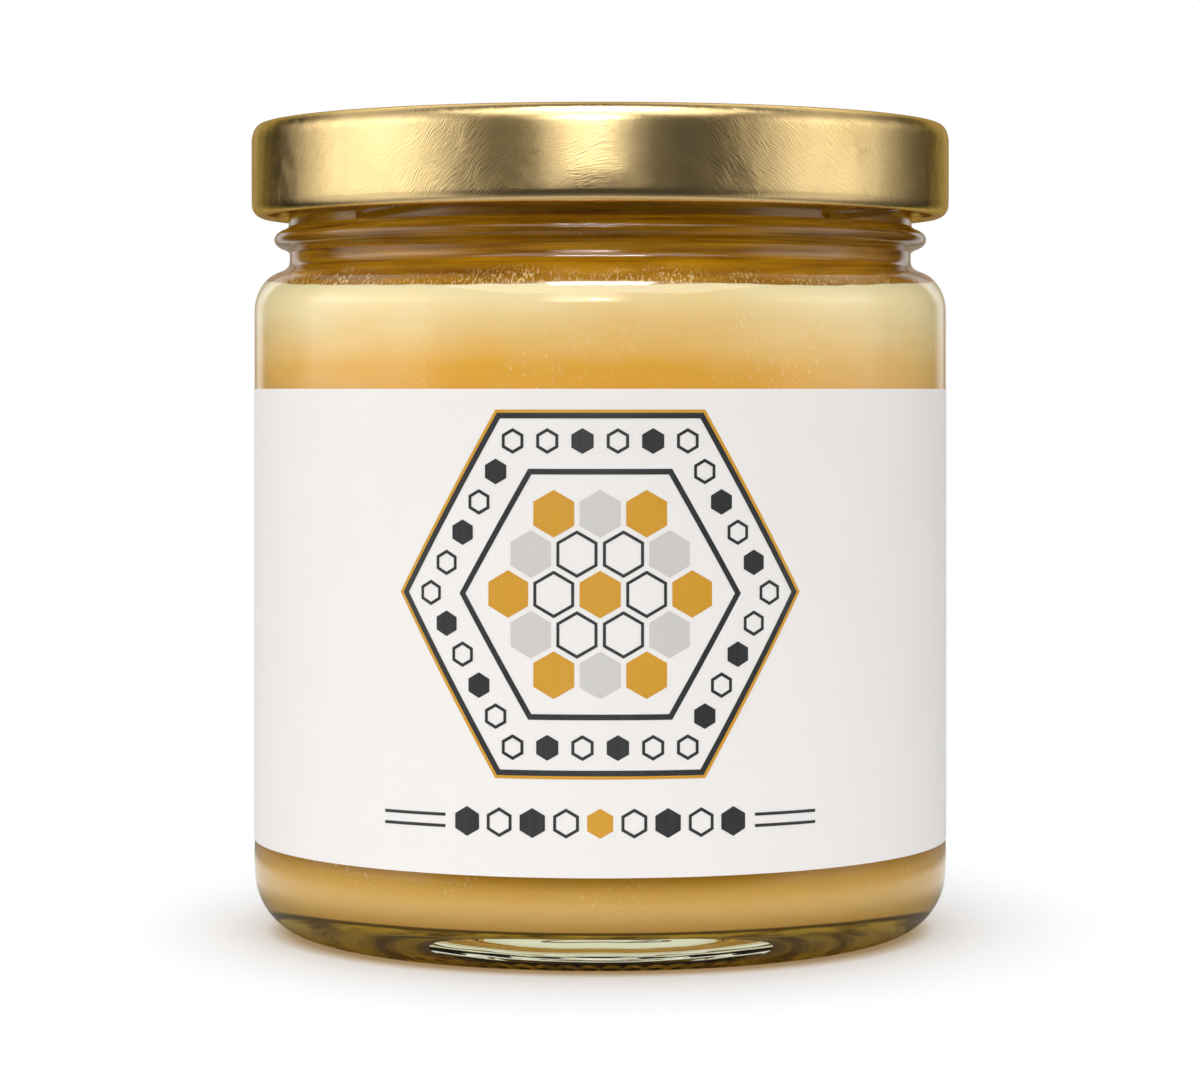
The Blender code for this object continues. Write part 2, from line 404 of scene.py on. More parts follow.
def object_place(tree, up=1.0):
    """Object coordinates in millimetres, with the height stretched by up."""
    place = add(tree, "ShaderNodeTexCoord").outputs["Object"]
    scale = (1.0 / MM, 1.0 / MM, up / MM)
    return add(tree, "ShaderNodeMapping", {"Vector": place, "Scale": scale}).outputs[0]


def wrapped_place(tree, up=1.0):
    """The unrolled map in millimetres, with the height stretched by up."""
    place = add(tree, "ShaderNodeUVMap", uv_map="wrap").outputs[0]
    return add(tree, "ShaderNodeMapping", {"Vector": place, "Scale": (1.0, up, 1.0)}).outputs[0]


print("shared group:", UNEVENNESS.name)

# %% [markdown]
# ## Clear glass
#
# Glass bends what is seen through it, so it is a Principled shader with full transmission and
# glass's index of refraction. Light that only wants to get through, to light the honey, would be
# stopped by bending glass and make noise. So the shadow rays and the diffuse rays see a plain
# transparent surface instead, and the camera still sees true glass.
#
# A container jar is never optically flat. A broad and very low bump makes its reflections wander.
# Its tint changes with the height. The thick base is faintly green, and the foot under it is tinted
# amber, a painted glow of the honey above. Light that passes through the base and the foot is
# darkened and turned amber, a painted shade under the jar and on the honey's lower part. What is
# mirrored in the glass is tinted slightly warm.

# %% Glass material
GLASS_IOR = 1.5
GLASS_TINT = colour(0.968, 0.972, 0.952)
# Light that passes the foot and the base is darkened and turned amber: painted shade under the jar and
# on the honey's lower part.
FOOT_SHADE = colour(1.0, 0.82, 0.36)
FOOT_SHADE_LOW = 1.0
FOOT_SHADE_HIGH = 1.8
BASE_SHADE = colour(0.93, 0.84, 0.62)
BASE_SHADE_LOW = 2.5
BASE_SHADE_HIGH = 7.0
BASE_TINT = colour(0.87, 0.885, 0.60)
BASE_TINT_LOW = 3.6
BASE_TINT_HIGH = 4.8
# The foot's amber to the camera is a painted glow of the honey above it.
FOOT_HONEY_GLOW = colour(1.0, 0.82, 0.30)
FOOT_HONEY_GLOW_LOW = 1.2
FOOT_HONEY_GLOW_HIGH = 1.6
MIRROR_TINT = colour(1.0, 0.94, 0.84)
WAVE_SCALE = 0.12
WAVE_STRENGTH = 0.08
WAVE_DISTANCE = 0.2 * MM


def make_glass():
    material, tree, shader = new_material("clear_glass")
    shader.inputs["Roughness"].default_value = 0.0
    shader.inputs["IOR"].default_value = GLASS_IOR
    shader.inputs["Transmission Weight"].default_value = 1.0
    place = object_place(tree)
    waves = uneven(tree, place, WAVE_SCALE, 0.0, 1.0, detail=1.0)
    feed(tree, shader, "Normal", bump(tree, waves, WAVE_STRENGTH, WAVE_DISTANCE))
    path = add(tree, "ShaderNodeLightPath")
    straight = maths(
        tree, "MAXIMUM", path.outputs["Is Shadow Ray"], path.outputs["Is Diffuse Ray"]
    )
    height = add(tree, "ShaderNodeSeparateXYZ", {0: place}).outputs["Z"]
    low_down = spread(tree, height, BASE_TINT_LOW, BASE_TINT_HIGH, 1.0, 0.0)
    lowest = spread(tree, height, FOOT_HONEY_GLOW_LOW, FOOT_HONEY_GLOW_HIGH, 1.0, 0.0)
    foot = blend_colours(tree, lowest, BASE_TINT, FOOT_HONEY_GLOW)
    feed(tree, shader, "Base Color", blend_colours(tree, low_down, GLASS_TINT, foot))
    shader.inputs["Specular Tint"].default_value = MIRROR_TINT
    # Painted shade: light passing the base and the foot is darkened and turned amber.
    in_base = spread(tree, height, BASE_SHADE_LOW, BASE_SHADE_HIGH, 1.0, 0.0)
    in_foot = spread(tree, height, FOOT_SHADE_LOW, FOOT_SHADE_HIGH, 1.0, 0.0)
    shade = blend_colours(tree, in_foot, BASE_SHADE, FOOT_SHADE)
    passed = blend_colours(tree, in_base, GLASS_TINT, shade)
    clear = add(tree, "ShaderNodeBsdfTransparent", {"Color": passed})
    mixed = add(tree, "ShaderNodeMixShader", {0: straight})
    tree.links.new(shader.outputs[0], mixed.inputs[1])
    tree.links.new(clear.outputs[0], mixed.inputs[2])
    tree.links.new(mixed.outputs[0], tree.nodes["Material Output"].inputs["Surface"])
    return material


glass_material = make_glass()
describe(glass_material)

# %% [markdown]
# ## The jar
#
# The outline starts in the middle of the jar's floor, climbs the inside, turns over the rim and
# comes down the outside: neck, bead, groove, shoulder, straight body, heel, standing ring and the
# pushed-up base. The wall is whole behind the label, because the real label is stuck on the plain
# wall.
#
# The neck's four threads aren't turned, so they are raised afterwards. Each point of the neck asks
# how far it is from the nearest thread's middle line, which climbs to the right round the neck, and
# is pushed out by a smooth bell.

# %% Jar outline
def inner_outline(beyond=0.0, top_angle=INNER_SHOULDER_ARC):
    """The jar's inside from the floor's middle up to the shoulder, pushed into the wall by beyond."""
    corner_centre = (INNER_RADIUS - FLOOR_CORNER, FLOOR_EDGE + FLOOR_CORNER)
    shoulder_centre = (INNER_RADIUS - INNER_SHOULDER_INSET, INNER_SHOULDER_START)
    corner = FLOOR_CORNER + beyond
    outline = line((0.0, FLOOR_CENTRE - beyond), (corner_centre[0], FLOOR_EDGE - beyond), 4)
    outline += arc(corner_centre, corner, corner, -90, 0, 12)[1:]
    outline += line(
        (INNER_RADIUS + beyond, corner_centre[1]), (INNER_RADIUS + beyond, INNER_SHOULDER_START), 4
    )[1:-1]
    outline += arc(
        shoulder_centre,
        INNER_SHOULDER_INSET + beyond,
        INNER_SHOULDER_RISE + beyond,
        0,
        top_angle,
        14,
    )
    return outline


def rippled(start, end):
    """A straight stretch with low rings, as a mould leaves them in a pushed-up base."""
    points = []
    for radius, height in line(start, end, RIPPLE_STEPS):
        from_edge = (start[0] - radius) / RIPPLE_PITCH
        ring = math.sin(math.tau * from_edge) * min(1.0, radius / RIPPLE_PITCH)
        points.append((radius, height + RIPPLE_HEIGHT * ring))
    return points


def outer_outline():
    """The jar's outside from the rim down to the middle of the base."""
    rim_inner = (BORE_RADIUS + RIM_INNER_ROUND, RIM_TOP - RIM_INNER_ROUND)
    rim_outer = (NECK_RADIUS - RIM_OUTER_ROUND, RIM_TOP - RIM_OUTER_ROUND)
    shoulder_centre = (BODY_RADIUS - SHOULDER_INSET, SHOULDER_START)
    heel_centre = (BODY_RADIUS - HEEL_INSET, HEEL_TOP)
    ring_inner = heel_centre[0] - STANDING_RING_WIDTH
    outline = arc(rim_inner, RIM_INNER_ROUND, RIM_INNER_ROUND, 180, 90, 8)
    outline += arc(rim_outer, RIM_OUTER_ROUND, RIM_OUTER_ROUND, 90, 0, 8)
    outline += line((NECK_RADIUS, rim_outer[1]), (NECK_RADIUS, THREAD_FINE_TOP), 14)[1:]
    outline += line((NECK_RADIUS, THREAD_FINE_TOP), (NECK_RADIUS, BEAD_FILLET_TOP), 26)[1:]
    outline += arc((NECK_RADIUS, BEAD_HEIGHT), BEAD_REACH, BEAD_HALF_HEIGHT, 75, -75, 18)
    outline += line((GROOVE_RADIUS, GROOVE_TOP), (GROOVE_RADIUS, GROOVE_BOTTOM), 3)
    outline += [(GROOVE_RADIUS + out, GROOVE_BOTTOM - down) for out, down in GROOVE_FILLET]
    outline += arc(shoulder_centre, SHOULDER_INSET, SHOULDER_RISE, 76, 0, 20)
    outline += line(
        (BODY_RADIUS, SHOULDER_START), (BODY_RADIUS, HEEL_BEAD_HEIGHT + HEEL_BEAD_BLEND), 4
    )[1:]
    outline += [(HEEL_BEAD_RADIUS, HEEL_BEAD_HEIGHT)]
    outline += arc(heel_centre, HEEL_INSET, HEEL_TOP, 0, -90, 24)
    outline += arc((ring_inner, PUSH_UP_EDGE), PUSH_UP_STEP, PUSH_UP_EDGE, -90, -180, 6)
    outline += rippled((ring_inner - PUSH_UP_STEP, PUSH_UP_EDGE), (0.0, PUSH_UP_CENTRE))[1:]
    return outline


print(len(inner_outline()), "points inside and", len(outer_outline()), "outside")

# %% Threads round the neck
THREAD_COUNT = 4
THREAD_FIRST_START = -48
THREAD_SWEEP = 100
THREAD_BOTTOM = 74.55 * MM
THREAD_RISE_PER_DEGREE = 0.065 * MM
THREAD_HALF_WIDTH = 0.85 * MM
THREAD_REACH = 1.25 * MM
THREAD_TAPER = 7
THREAD_END_ROUND = 0.6
THREAD_END_WIDTH = 0.4
THREAD_STEEPNESS = 1.3
THREAD_CLEAR = 0.1 * MM


def thread_height(place):
    """How far the thread stands out of the neck at a place on it."""
    tallest = 0.0
    for index in range(THREAD_COUNT):
        start = THREAD_FIRST_START + 360 / THREAD_COUNT * index
        along = (azimuth(place) - start) % 360
        if along > THREAD_SWEEP:
            continue
        middle = THREAD_BOTTOM + THREAD_RISE_PER_DEGREE * along
        from_end = min(along, THREAD_SWEEP - along) / THREAD_TAPER
        fullness = math.sin(math.pi / 2 * min(1.0, from_end)) ** THREAD_END_ROUND
        width_here = THREAD_END_WIDTH + (1 - THREAD_END_WIDTH) * fullness
        half_width = THREAD_HALF_WIDTH * width_here
        steep = min(1.0, THREAD_STEEPNESS * bell((place.z - middle) / half_width))
        ridge = THREAD_REACH * fullness * steep
        tallest = max(tallest, ridge)
    return tallest


def raise_threads(shape):
    for vert in shape.verts:
        on_neck = BEAD_FILLET_TOP - THREAD_CLEAR < vert.co.z < RIM_TOP - RIM_OUTER_ROUND
        outside = vert.co.xy.length > (NECK_RADIUS + BORE_RADIUS) / 2
        if on_neck and outside:
            push_out(vert, thread_height(vert.co))


print(f"each thread climbs {THREAD_RISE_PER_DEGREE * THREAD_SWEEP / MM:.1f} mm")

# %% [markdown]
# Under the heel, the mould left a ring of small knurls, so that the hot glass never stood on a
# smooth face. They are a fine wave round the outer edge of the standing ring. The spin takes five
# steps for each knurl, so that none of them is missed.

# %% Knurls under the heel
KNURL_COUNT = 96
KNURL_STEPS = 5
KNURL_DEPTH = 0.3 * MM
KNURL_BOTTOM = 0.0
KNURL_TOP = 1.0 * MM


def press_knurls(shape):
    middle = (KNURL_BOTTOM + KNURL_TOP) / 2
    half = (KNURL_TOP - KNURL_BOTTOM) / 2
    for vert in shape.verts:
        if vert.co.xy.length < STANDING_RADIUS or vert.co.z > KNURL_TOP:
            continue
        wave = 0.5 - 0.5 * math.cos(math.radians(azimuth(vert.co)) * KNURL_COUNT)
        push_out(vert, -KNURL_DEPTH * wave * bell((vert.co.z - middle) / half))


print(f"one knurl every {math.tau * STANDING_RADIUS / KNURL_COUNT / MM:.2f} mm")

# %% Build the jar
jar_shape = spun(
    inner_outline() + [(BORE_RADIUS, BORE_START)] + outer_outline(),
    KNURL_COUNT * KNURL_STEPS,
)
raise_threads(jar_shape)
press_knurls(jar_shape)
finished(jar_shape, "jar_glass", glass_material, "glass_jar")

# %% [markdown]
# ## Creamed honey
#
# Creamed honey is honey full of tiny crystals, so it is pale and opaque, with a little light
# passing under its skin. That light is subsurface scattering, over about a millimetre. The colour
# drifts from pale near the top to a deeper gold, partly its own tone and partly painted light from
# above, with faint cloudy streaks left by the filling. Painted light makes it paler at the two sides
# and lighter in the heel, and painted shade makes it darker behind the label's foot. Pale specks
# gather here and there, and some froth is left at the top.
#
# The filling reaches a tenth of a millimetre into the wall. If it stopped short, a gap of air would
# show as a bright mirror inside the glass. Only over the middle of the floor does it stay a hair off.
# There the light runs flat through the thick base and is mirrored up and down in it, which is what
# paints the pale and dark stripes under the honey. Nearer the wall it touches the floor, so the foot
# takes its amber from the underside. Light and shade are painted on the underside: lit streaks that
# run round, and a dark line of painted shade at its edge.

# %% Honey colours and heights
# The drift from pale to deep is partly painted light from above.
HONEY_PALE = colour(0.98, 0.78, 0.43)
HONEY_DEEP = colour(0.86, 0.47, 0.065)
# Painted shade behind the label's foot.
HONEY_SHADED = colour(0.68, 0.35, 0.03)
# Painted light in the heel.
HONEY_HEEL_LIGHT = colour(0.96, 0.66, 0.22)
HONEY_CREAM = colour(0.93, 0.78, 0.48)
# Painted light and shade on the underside, and the painted dark line at its edge.
UNDERSIDE_SHADE = colour(0.25, 0.18, 0.004)
UNDERSIDE_LIGHT = colour(1.0, 0.84, 0.16)
EDGE_LINE_SHADE = colour(0.08, 0.045, 0.002)
SPECK = colour(0.99, 0.84, 0.50)

# All of these are in millimetres, and the last value of a group of three is how much is reached.
PALE_FROM = 66.5
DEEP_FROM = 59.0
SHADE_START = 18.0
SHADE_FULL = 13.0
HEEL_LIGHT_START = 9.5
HEEL_LIGHT_FULL = 4.8
# The sides are made paler by painted light.
SIDE_START = 10.0
SIDE_FULL = 28.0
SIDE_LIGHT_PAINTED = -0.27
FROTH_START = 65.8
FROTH_FULL = 67.3
FROTH_MOST = 0.8
EDGE_LINE_START = 4.28
EDGE_LINE_FULL = 4.36
EDGE_LINE_MOST = 0.6
SKIN_ABOVE = 4.55
UNDERSIDE_BELOW = 4.45
print(f"honey from {HONEY_LEVEL / MM:.1f} mm down to its underside at {UNDERSIDE_BELOW} mm")


# %% Honey material
def circling_place(tree, stretch):
    """Distance from the axis, X and height in millimetres, so that a noise makes rings."""
    parts = add(tree, "ShaderNodeSeparateXYZ", {0: object_place(tree)}).outputs
    squared = times(tree, parts["X"], parts["X"])
    squared = maths(tree, "MULTIPLY_ADD", parts["Y"], parts["Y"], squared)
    lengths = (maths(tree, "SQRT", squared), parts["X"], parts["Z"])
    values = {axis: times(tree, lengths[axis], stretch[axis]) for axis in range(3)}
    return add(tree, "ShaderNodeCombineXYZ", values).outputs[0]


def honey_body(tree, parts):
    """Cloudy colour with painted light at the top, sides and heel and painted shade behind the label.
    """
    height = parts["Z"]
    depth = fade(tree, height, PALE_FROM, DEEP_FROM)
    clouds = uneven(tree, object_place(tree, 2.5), 0.06, -0.18, 0.18)
    # Painted light at the sides.
    to_side = maths(tree, "ABSOLUTE", parts["X"])
    paler = spread(tree, to_side, SIDE_START, SIDE_FULL, 0.0, SIDE_LIGHT_PAINTED)
    share = maths(tree, "ADD", maths(tree, "ADD", depth, clouds), paler)
    body = blend_colours(tree, share, HONEY_PALE, HONEY_DEEP)
    # Painted shade behind the label's foot, then painted light in the heel.
    body = blend_colours(tree, fade(tree, height, SHADE_START, SHADE_FULL), body, HONEY_SHADED)
    return blend_colours(tree, fade(tree, height, HEEL_LIGHT_START, HEEL_LIGHT_FULL), body, HONEY_HEEL_LIGHT)


def honey_specks(tree, place):
    """Small pale specks, only where a broader noise is high."""
    specks = peaks(tree, object_place(tree, 0.8), 3.0, -9.0, 1.6, detail=1.0)
    thick = peaks(tree, place, 0.14, -0.2, 0.32, detail=1.0)
    return times(tree, specks, thick)


def honey_underside(tree, height):
    """Painted light and shade on the underside: lit streaks that run round, and a dark line at its
    edge.
    """
    streaks = uneven(tree, circling_place(tree, (0.55, 0.25, 3.2)), 1.0, -0.5, 1.7, detail=4.0)
    in_line = fade(tree, height, EDGE_LINE_START, EDGE_LINE_FULL)
    streaks = times(tree, streaks, maths(tree, "SUBTRACT", 1.0, in_line))
    underside = blend_colours(tree, streaks, UNDERSIDE_SHADE, UNDERSIDE_LIGHT)
    return blend_colours(tree, times(tree, in_line, EDGE_LINE_MOST), underside, EDGE_LINE_SHADE)


def make_honey():
    material, tree, shader = new_material("creamed_honey")
    place = object_place(tree)
    parts = add(tree, "ShaderNodeSeparateXYZ", {0: place}).outputs
    height = parts["Z"]
    crystals = uneven(tree, place, 1.6, 0.0, 1.0, detail=4.0)
    near_top = spread(tree, height, FROTH_START, FROTH_FULL, 0.0, FROTH_MOST)
    froth = times(tree, near_top, crystals)
    skin = blend_colours(tree, froth, honey_body(tree, parts), HONEY_CREAM)
    skin = blend_colours(tree, honey_specks(tree, place), skin, SPECK)
    underside = honey_underside(tree, height)
    turned = fade(tree, height, SKIN_ABOVE, UNDERSIDE_BELOW)
    feed(tree, shader, "Base Color", blend_colours(tree, turned, skin, underside))
    feed(tree, shader, "Roughness", uneven(tree, place, 0.4, 0.34, 0.5))
    shader.inputs["Subsurface Weight"].default_value = 0.35
    shader.inputs["Subsurface Radius"].default_value = (1.0, 0.6, 0.25)
    shader.inputs["Subsurface Scale"].default_value = 1.2 * MM
    shader.inputs["IOR"].default_value = 1.45
    shader.inputs["Specular IOR Level"].default_value = 0.1
    feed(tree, shader, "Normal", bump(tree, crystals, 0.1, 0.1 * MM))
    return material


honey_material = make_honey()
describe(honey_material)

# %% Honey mesh
INTO_WALL = 0.12 * MM
FLOOR_GAP = 0.075 * MM
FLOOR_TOUCH = 23.6 * MM
HONEY_DIP = 0.6 * MM
TOP_MIDDLE_DROP = 0.5 * MM
TOP_FLAT_DROP = 0.4 * MM
TOP_FLAT_END = 2.0 * MM
TOP_BEND_DROP = 0.45 * MM
TOP_BEND_END = 0.8 * MM
RAGGED_BAND = 1.2 * MM
RAGGED_HEIGHT = 0.3 * MM
RAGGED_BROAD = 120
RAGGED_FINE = 420
RAGGED_FINE_SHARE = 0.6


def make_honey_shape():
    """The filling: a little into the wall, and just off the middle of the glass floor."""
    rise = INNER_SHOULDER_RISE + INTO_WALL
    edge_height = HONEY_LEVEL - HONEY_DIP
    top_angle = math.degrees(math.asin((edge_height - INNER_SHOULDER_START) / rise))
    side = inner_outline(INTO_WALL, top_angle)
    over_middle = [point for point in side if point[1] < FLOOR_CENTRE and point[0] < FLOOR_TOUCH]
    lifted = [(radius, height + INTO_WALL + FLOOR_GAP) for radius, height in over_middle]
    side = lifted + side[len(over_middle):]
    edge_radius = side[-1][0]
    middle = (0.0, HONEY_LEVEL - TOP_MIDDLE_DROP)
    outline = line(middle, (edge_radius - TOP_FLAT_END, HONEY_LEVEL - TOP_FLAT_DROP), 10)
    outline += [(edge_radius - TOP_BEND_END, HONEY_LEVEL - TOP_BEND_DROP)]
    outline += side[::-1]
    shape = spun(outline)
    for vert in shape.verts:
        share = (vert.co.z - (HONEY_LEVEL - RAGGED_BAND)) / RAGGED_BAND
        if share <= 0:
            continue
        broad = noise.noise(vert.co * RAGGED_BROAD)
        fine = noise.noise(vert.co * RAGGED_FINE)
        vert.co.z += RAGGED_HEIGHT * share * (broad + RAGGED_FINE_SHARE * fine)
    return shape


honey_shape = make_honey_shape()
finished(honey_shape, "creamed_honey", honey_material, "honey")

# %% [markdown]
# ## The honey film on the neck
#
# Above the level, the glass isn't clean: filling and tilting left a thin film of honey on the inside
# of the neck. It is amber where it is thin and darker where it is thick, and it is what makes the
# neck look brown-gold. Close above the honey, creamy crumbs stick to it. It is a thin sheet just
# inside the wall, with streaks that run round it.

# %% Film material
FILM_AMBER = colour(0.53, 0.245, 0.005)
FILM_DARK = colour(0.19, 0.062, 0.001)
FILM_CREAM = colour(0.86, 0.62, 0.26)
CRUMBS_START = 68.1
CRUMBS_FULL = 66.8
CRUMBS_MOST = 0.9


def make_film():
    material, tree, shader = new_material("honey_film")
    streaks = uneven(tree, object_place(tree, 16.0), 0.08, 0.0, 1.0, detail=4.0)
    tone = blend_colours(tree, streaks, FILM_DARK, FILM_AMBER)
    place = object_place(tree)
    crumbs = uneven(tree, object_place(tree, 0.6), 4.6, -4.1, 2.8, detail=3.0)
    crumbs = times(tree, crumbs, peaks(tree, place, 0.3, -0.1, 1.4, detail=2.0))
    height = add(tree, "ShaderNodeSeparateXYZ", {0: place}).outputs["Z"]
    wander = uneven(tree, object_place(tree, 0.3), 0.12, -0.6, 0.6)
    near_honey = fade(tree, maths(tree, "ADD", height, wander), CRUMBS_START, CRUMBS_FULL)
    cream = times(tree, near_honey, spread(tree, crumbs, 0.0, 1.0, 0.0, CRUMBS_MOST))
    feed(tree, shader, "Base Color", blend_colours(tree, cream, tone, FILM_CREAM))
    feed(tree, shader, "Roughness", uneven(tree, place, 0.5, 0.2, 0.4))
    shader.inputs["Specular IOR Level"].default_value = 0.05
    return material


film_material = make_film()
describe(film_material)

# %% Film mesh
FILM_INTO_WALL = 0.06 * MM
FILM_INNER = 0.25 * MM
FILM_TOP = 83.0 * MM
FILM_BELOW_LEVEL = 2.2 * MM


def make_film_shape():
    start = HONEY_LEVEL - FILM_BELOW_LEVEL
    centre = (INNER_RADIUS - INNER_SHOULDER_INSET, INNER_SHOULDER_START)
    walls = []
    for beyond in (FILM_INTO_WALL, -FILM_INNER):
        rise = INNER_SHOULDER_RISE + beyond
        first = math.degrees(math.asin((start - INNER_SHOULDER_START) / rise))
        wall = arc(centre, INNER_SHOULDER_INSET + beyond, rise, first, INNER_SHOULDER_ARC, 8)
        wall += line((BORE_RADIUS + beyond, BORE_START), (BORE_RADIUS + beyond, FILM_TOP), 6)
        walls.append(wall)
    outline = walls[0] + walls[1][::-1]
    return spun(outline + outline[:1])


film_shape = make_film_shape()
finished(film_shape, "honey_film", film_material)

# %% [markdown]
# ## The paper label
#
# The label is a strip of white paper wrapped round the body, with its two ends a few millimetres
# apart at the back. It is a small rectangle spun through less than a full turn, so use_merge stays
# off, and its two ends are closed with a face each.
#
# Uncoated paper has faint fibres and clouds, and it is matt.

# %% Paper material
PAPER_WHITE = colour(0.90, 0.872, 0.842)
PAPER_GREY = colour(0.86, 0.832, 0.80)


def make_paper():
    material, tree, shader = new_material("label_paper")
    fibres = uneven(tree, wrapped_place(tree, 3.0), 1.4, 0.0, 1.0, detail=6.0)
    clouds = uneven(tree, wrapped_place(tree), 0.12, 0.0, 0.6)
    share = times(tree, fibres, clouds)
    feed(tree, shader, "Base Color", blend_colours(tree, share, PAPER_WHITE, PAPER_GREY))
    feed(tree, shader, "Roughness", uneven(tree, wrapped_place(tree), 0.8, 0.55, 0.7))
    shader.inputs["Specular IOR Level"].default_value = 0.3
    feed(tree, shader, "Normal", bump(tree, fibres, 0.15, 0.03 * MM))
    return material


paper_material = make_paper()
describe(paper_material)

# %% Label mesh
PAPER = 0.07 * MM
LABEL_OPENING = 12.0
LABEL_STEPS = 232


def make_label_shape():
    shape = bmesh.new()
    inner = LABEL_RADIUS - PAPER
    outline = [
        (LABEL_RADIUS, LABEL_TOP),
        (LABEL_RADIUS, LABEL_BOTTOM),
        (inner, LABEL_BOTTOM),
        (inner, LABEL_TOP),
    ]
    start = math.radians(90 + LABEL_OPENING / 2)
    around = (math.cos(start), math.sin(start))
    corners = []
    for radius, height in outline:
        corners.append(shape.verts.new((radius * around[0], radius * around[1], height)))
    end = shape.faces.new(corners)
    sweep = math.tau - math.radians(LABEL_OPENING)
    result = bmesh.ops.spin(
        shape,
        geom=[end] + end.edges[:] + corners,
        cent=(0.0, 0.0, 0.0),
        axis=(0.0, 0.0, 1.0),
        angle=sweep,
        steps=LABEL_STEPS,
    )
    bmesh.ops.recalc_face_normals(shape, faces=shape.faces)
    print("label ends in", len(result["geom_last"]), "elements")
    return shape


label_shape = make_label_shape()
unroll(label_shape, LABEL_RADIUS)
finished(label_shape, "paper_label", paper_material, "label")

# %% [markdown]
# ## The print
#
# The label's print is a plain honeycomb: two hexagonal frames with small cells between them, a comb
# of gold, grey and open cells, and a row of small cells below. Each ink is a mesh of its own, a few
# hundredths of a millimetre above the paper, so its edges stay crisp at any size.
#
# A hexagon is a circle of six segments. Insetting its face and deleting the middle leaves a line of
# even width. The flat drawing is cut into narrow strips, and only then is it rolled onto the label,
# so that the straight lines can follow the curve.

# %% Ink materials
INK_COVER = 0.985
INK_ROUGHER = 0.1


def make_ink(name, base, roughness):
    material, tree, shader = new_material(name)
    spots = uneven(tree, wrapped_place(tree), 3.0, INK_COVER, 1.0, detail=4.0)
    feed(tree, shader, "Base Color", blend_colours(tree, spots, PAPER_WHITE, base))
    satin = uneven(tree, wrapped_place(tree), 1.0, roughness, roughness + INK_ROUGHER)
    feed(tree, shader, "Roughness", satin)
    describe(material)
    return material


ink_black = make_ink("ink_black", colour(0.012, 0.014, 0.016), 0.42)
ink_gold = make_ink("ink_gold", colour(0.66, 0.32, 0.012), 0.42)
ink_grey = make_ink("ink_grey", colour(0.64, 0.62, 0.58), 0.45)

# %% Flat drawing helpers
SIDES = 6
INK_STRIP = 0.8 * MM
INK_LIFT = 0.03 * MM
INK_THICKNESS = 0.01 * MM


def hexagon(shape, centre, radius, width=None, flat_top=False):
    """A filled hexagon, or a hexagonal line of the given width."""
    made = bmesh.ops.create_circle(shape, cap_ends=True, segments=SIDES, radius=radius)
    turn = math.radians(30 if flat_top else 0)
    bmesh.ops.rotate(shape, verts=made["verts"], matrix=Matrix.Rotation(turn, 3, "Z"))
    bmesh.ops.translate(shape, verts=made["verts"], vec=(centre[0], centre[1], 0.0))
    if width is None:
        return
    faces = list({face for vert in made["verts"] for face in vert.link_faces})
    bmesh.ops.inset_region(
        shape, faces=faces, thickness=width, use_boundary=True, use_even_offset=True
    )
    bmesh.ops.delete(shape, geom=faces, context="FACES")


def bar(shape, centre, width, height):
    """A plain rectangle."""
    made = bmesh.ops.create_grid(shape, x_segments=1, y_segments=1, size=0.5)
    bmesh.ops.scale(shape, verts=made["verts"], vec=(width, height, 1.0))
    bmesh.ops.translate(shape, verts=made["verts"], vec=(centre[0], centre[1], 0.0))


def rolled(shape, height):
    """Cuts the flat drawing into strips, gives it a thickness and rolls it onto the label."""
    edge = LABEL_RADIUS
    cuts = int(2 * edge / INK_STRIP)
    for index in range(cuts + 1):
        across = -edge + index * INK_STRIP
        bmesh.ops.bisect_plane(
            shape,
            geom=shape.verts[:] + shape.edges[:] + shape.faces[:],
            dist=MERGE,
            plane_co=(across, 0.0, 0.0),
            plane_no=(1.0, 0.0, 0.0),
        )
    bmesh.ops.recalc_face_normals(shape, faces=shape.faces)
    for face in shape.faces:
        if face.normal.z < 0:
            face.normal_flip()
    bmesh.ops.solidify(shape, geom=shape.faces[:], thickness=INK_THICKNESS)
    for vert in shape.verts:
        radius = LABEL_RADIUS + INK_LIFT + vert.co.z
        angle = vert.co.x / LABEL_RADIUS
        vert.co = Vector((radius * math.sin(angle), -radius * math.cos(angle), height + vert.co.y))


print(f"ink stands {(INK_LIFT + INK_THICKNESS) / MM:.2f} mm above the paper")

# %% Print sizes
PER_SIDE = 1 / math.cos(math.radians(30))
FRAME_HEIGHT = 37.2 * MM
FRAME_RADIUS = 20.6 * MM
FRAME_GOLD = 0.3 * MM
FRAME_BLACK = 0.55 * MM
BORDER_RADIUS = 17.1 * MM
BORDER_CELLS = 5
BORDER_CELL = 1.25 * MM
INNER_FRAME_RADIUS = 14.0 * MM
INNER_FRAME_BLACK = 0.55 * MM
CELL_RADIUS = 2.3 * MM
CELL_LINE = 0.3 * MM
CELL_PITCH = 4.5 * MM
COMB_RINGS = 2
DIVIDER_HEIGHT = 15.1 * MM
DIVIDER_REACH = 22.5 * MM
DIVIDER_CELLS = 9
DIVIDER_CELL = 1.45 * MM
DIVIDER_PITCH = 3.3 * MM
RULE = 0.3 * MM
RULE_GAP = 1.1 * MM
RULE_CLEAR = 0.7
print(f"frame {2 * FRAME_RADIUS / MM:.1f} mm wide, rules out to {DIVIDER_REACH / MM} mm")


# %% Draw and roll the print
def corner_of(radius, side):
    """One corner of a hexagon, counted from its right one."""
    place = Vector((radius, 0.0))
    place.rotate(Matrix.Rotation(math.radians(360 / SIDES * side), 2))
    return place


def along_sides(radius, count):
    """Evenly spaced places along a hexagon's sides, each with its number on its side."""
    places = []
    for side in range(SIDES):
        for step in range(count):
            place = corner_of(radius, side).lerp(corner_of(radius, side + 1), step / count)
            places.append((tuple(place), step))
    return places


